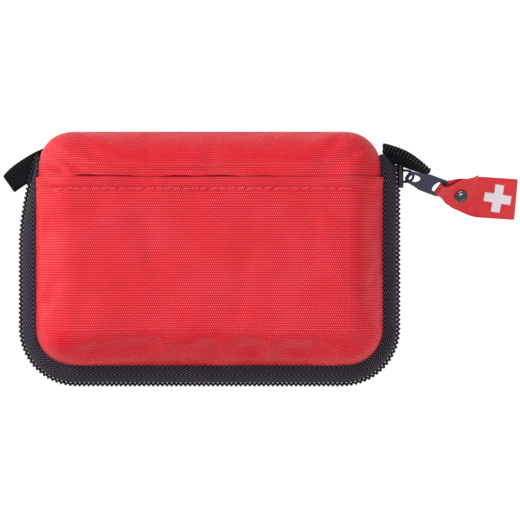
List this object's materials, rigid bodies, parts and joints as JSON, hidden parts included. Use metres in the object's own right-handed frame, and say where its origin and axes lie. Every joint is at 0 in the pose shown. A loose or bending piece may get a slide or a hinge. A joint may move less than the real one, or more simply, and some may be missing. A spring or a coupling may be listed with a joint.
{
  "type": "first aid kit pouch",
  "caption": "Small soft zip pouch with a front slip pocket, a fold-open cover, a zip slider with a pull tab and ribbon tag, and first aid supplies inside.",
  "frame": {"origin": "centre of the back panel's resting face", "axes": "+X right along the pouch seen from the front, +Y towards the spine, +Z out of the front"},
  "size_m": [0.1907, 0.0927, 0.04],
  "materials": {
    "red_fabric": "woven nylon, slight sheen",
    "lining": "thin woven nylon",
    "black_tape": "woven polyester tape",
    "black_nylon": "satin",
    "black_enamel": "gloss",
    "gunmetal": "satin plated",
    "red_ribbon": "satin woven ribbon",
    "pale_print": "flat print",
    "gauze": "crepe",
    "clear_bag": "glossy film",
    "white_tape": "matte",
    "white_plastic": "matte",
    "steel": "brushed",
    "black_plastic": "satin",
    "black_mesh": "open mesh",
    "paper": "matte"
  },
  "bodies": {
    "root": {"back_lining": "lining", "back_shell": "red_fabric", "elastic_band": "black_tape", "gauze_roll_left": "gauze", "gauze_roll_right": "gauze", "glove_packet": "clear_bag", "safety_pins": "steel", "scissors_blade_fixed": "steel", "scissors_grip_fixed": "black_plastic", "scissors_rivet": "steel", "seam_binding_back": "black_tape", "tape_core": "white_plastic", "tape_roll": "white_tape", "tape_skirt_back": "black_tape", "triangular_bandage": "clear_bag", "tweezers": "steel", "zip_coil_back": "black_nylon", "zip_tail_left": "black_tape", "zip_tail_right": "black_tape", "zip_tape_back": "black_tape"},
    "cover": {"front_shell": "red_fabric", "slip_pocket": "red_fabric", "front_lining": "lining", "zip_tape_front": "black_tape", "tape_skirt_front": "black_tape", "zip_coil_front": "black_nylon", "seam_binding_front": "black_tape", "mesh_pocket": "black_mesh", "mesh_pocket_hem": "black_tape", "plaster_strips": "paper", "wipe_sachets": "paper", "compress_packet": "paper"},
    "slider": {"slider_body": "black_enamel", "slider_crown": "black_enamel"},
    "puller": {"puller": "gunmetal"},
    "ribbon": {"ribbon_tag": "red_ribbon", "ribbon_cross": "pale_print", "rivet_cap": "gunmetal", "rivet_stud": "gunmetal"},
    "scissors_arm": {"scissors_blade_moving": "steel", "scissors_grip_moving": "black_plastic"}
  },
  "joints": [
    {"name": "cover_hinge", "type": "hinge", "parent": "root", "child": "cover", "pos_m": [0, 0.0465, 0.02], "axis": [-1, 0, 0], "range_deg": [0, 180]},
    {"name": "slider_slide", "type": "slide", "parent": "root", "child": "slider", "axis": [0, -1, 0], "range_m": [0, 0.045]},
    {"name": "puller_swing", "type": "hinge", "parent": "slider", "child": "puller", "pos_m": [0.07245, 0.0301, 0.02], "axis": [0, 0, 1], "range_deg": [-26, 14]},
    {"name": "ribbon_swing", "type": "hinge", "parent": "puller", "child": "ribbon", "pos_m": [0.08478, 0.02561, 0.01624], "axis": [0.425, 0.5978, 0.6797], "range_deg": [-50, 50]},
    {"name": "scissors_pivot", "type": "hinge", "parent": "root", "child": "scissors_arm", "pos_m": [0.004, -0.006, 0.02245], "axis": [0, 0, -1], "range_deg": [0, 40]}
  ]
}
